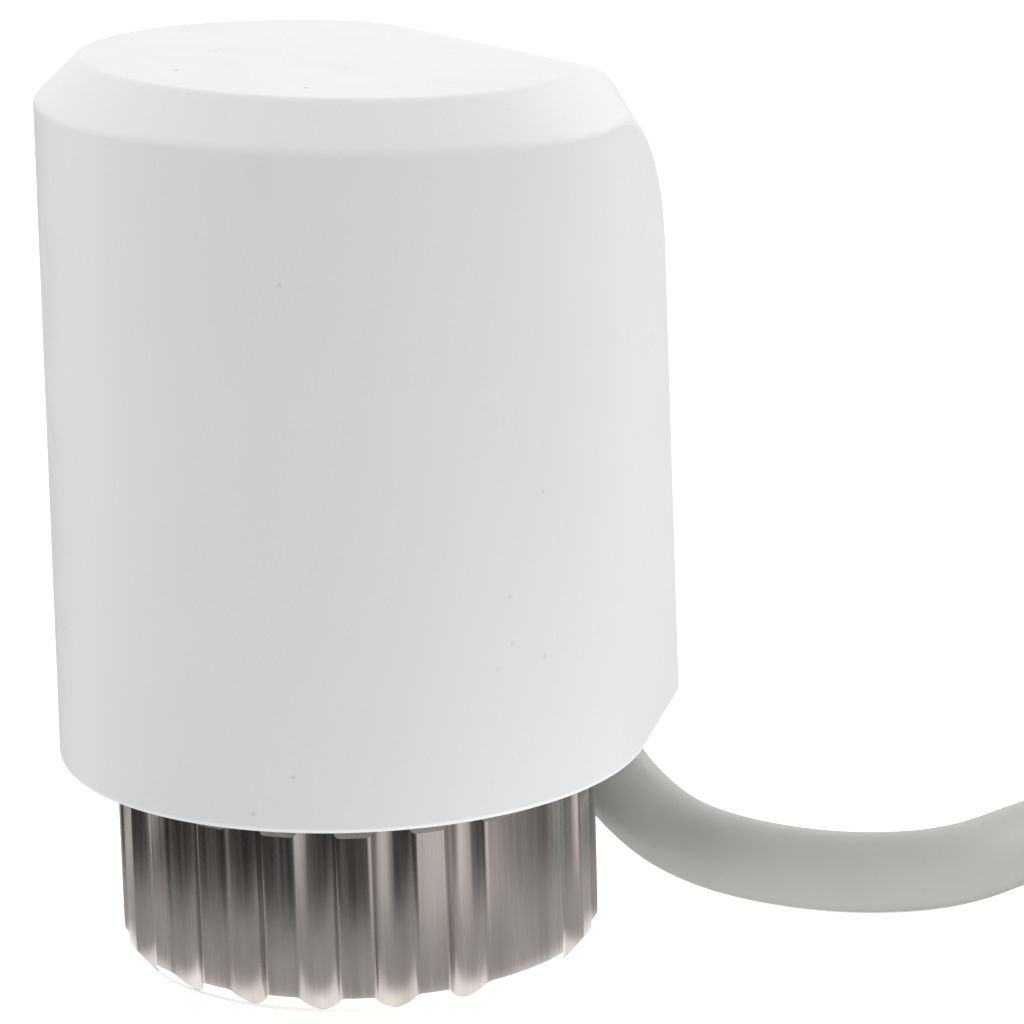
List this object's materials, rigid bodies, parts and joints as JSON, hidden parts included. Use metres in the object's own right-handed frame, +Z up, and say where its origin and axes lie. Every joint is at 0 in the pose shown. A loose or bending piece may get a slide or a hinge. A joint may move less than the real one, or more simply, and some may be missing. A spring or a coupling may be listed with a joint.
{
  "type": "valve actuator",
  "caption": "Thermal valve actuator: tall white D-shaped cap with a bevelled sloping top, fluted union nut below, push piece that opens a valve, and a grey mains lead wound into a tied coil.",
  "frame": {"origin": "on the valve axis at the mouth of the union nut, which is also the surface it stands on", "axes": "+Z up the valve axis into the housing; +Y to the back, where the lead leaves; the cap is symmetric about the YZ plane"},
  "size_m": [0.078, 0.1674, 0.0671],
  "materials": {
    "white_plastic": "satin moulded white plastic",
    "base_plastic": "matt glass-filled grey-white plastic",
    "seal_rubber": "matt black rubber",
    "spring_steel": "drawn spring steel",
    "zinc_steel": "zinc-plated pressed steel",
    "screw_steel": "zinc-plated screws",
    "ceramic": "matt white ceramic",
    "contact_steel": "thin stainless contact sheet",
    "heater_ceramic": "dark grey sintered ceramic",
    "brass": "turned brass",
    "wax": "pale translucent wax",
    "cable_pvc": "soft light grey PVC",
    "core_brown": "brown PVC insulation",
    "core_blue": "blue PVC insulation",
    "tinned_copper": "tinned copper ferrule",
    "tie_nylon": "natural nylon",
    "nickel": "nickel-plated, machined",
    "pin_steel": "ground steel pin"
  },
  "bodies": {
    "housing": {"housing_cap": "white_plastic", "base_body": "base_plastic", "stem_seal": "seal_rubber", "retaining_ring": "spring_steel", "steel_stirrup": "zinc_steel", "stirrup_screws": "screw_steel", "bridge_plate": "zinc_steel", "insulator_disc": "ceramic", "lower_electrode": "contact_steel", "ptc_heater": "heater_ceramic", "upper_electrode": "contact_steel", "upper_insulator": "ceramic", "crimp_terminals": "contact_steel", "element_cup": "brass", "wax_charge": "wax", "element_diaphragm": "seal_rubber", "element_guide": "brass", "main_spring": "spring_steel", "cable_grommet": "seal_rubber", "cord_clamp": "base_plastic", "clamp_screws": "screw_steel", "cable_inner": "cable_pvc", "core_brown_inner": "core_brown", "core_blue_inner": "core_blue", "cable_sheath": "cable_pvc", "cable_coil": "cable_pvc", "cable_tail": "cable_pvc", "core_brown_end": "core_brown", "core_blue_end": "core_blue", "wire_ferrules": "tinned_copper", "cable_tie": "tie_nylon"},
    "nut": {"union_nut": "nickel"},
    "plunger": {"push_piece": "base_plastic", "thrust_yoke": "zinc_steel", "spring_seat": "zinc_steel", "piston_pin": "pin_steel"}
  },
  "joints": [
    {"name": "nut_spin", "type": "hinge", "parent": "housing", "child": "nut", "pos_m": [0, 0, 0.0065], "axis": [0, 0, 1], "continuous": true},
    {"name": "plunger_stroke", "type": "slide", "parent": "housing", "child": "plunger", "axis": [0, 0, 1], "range_m": [0, 0.004], "stiffness_N_per_m": 2000, "springref_m": -0.01, "deforming": ["main_spring"]}
  ]
}
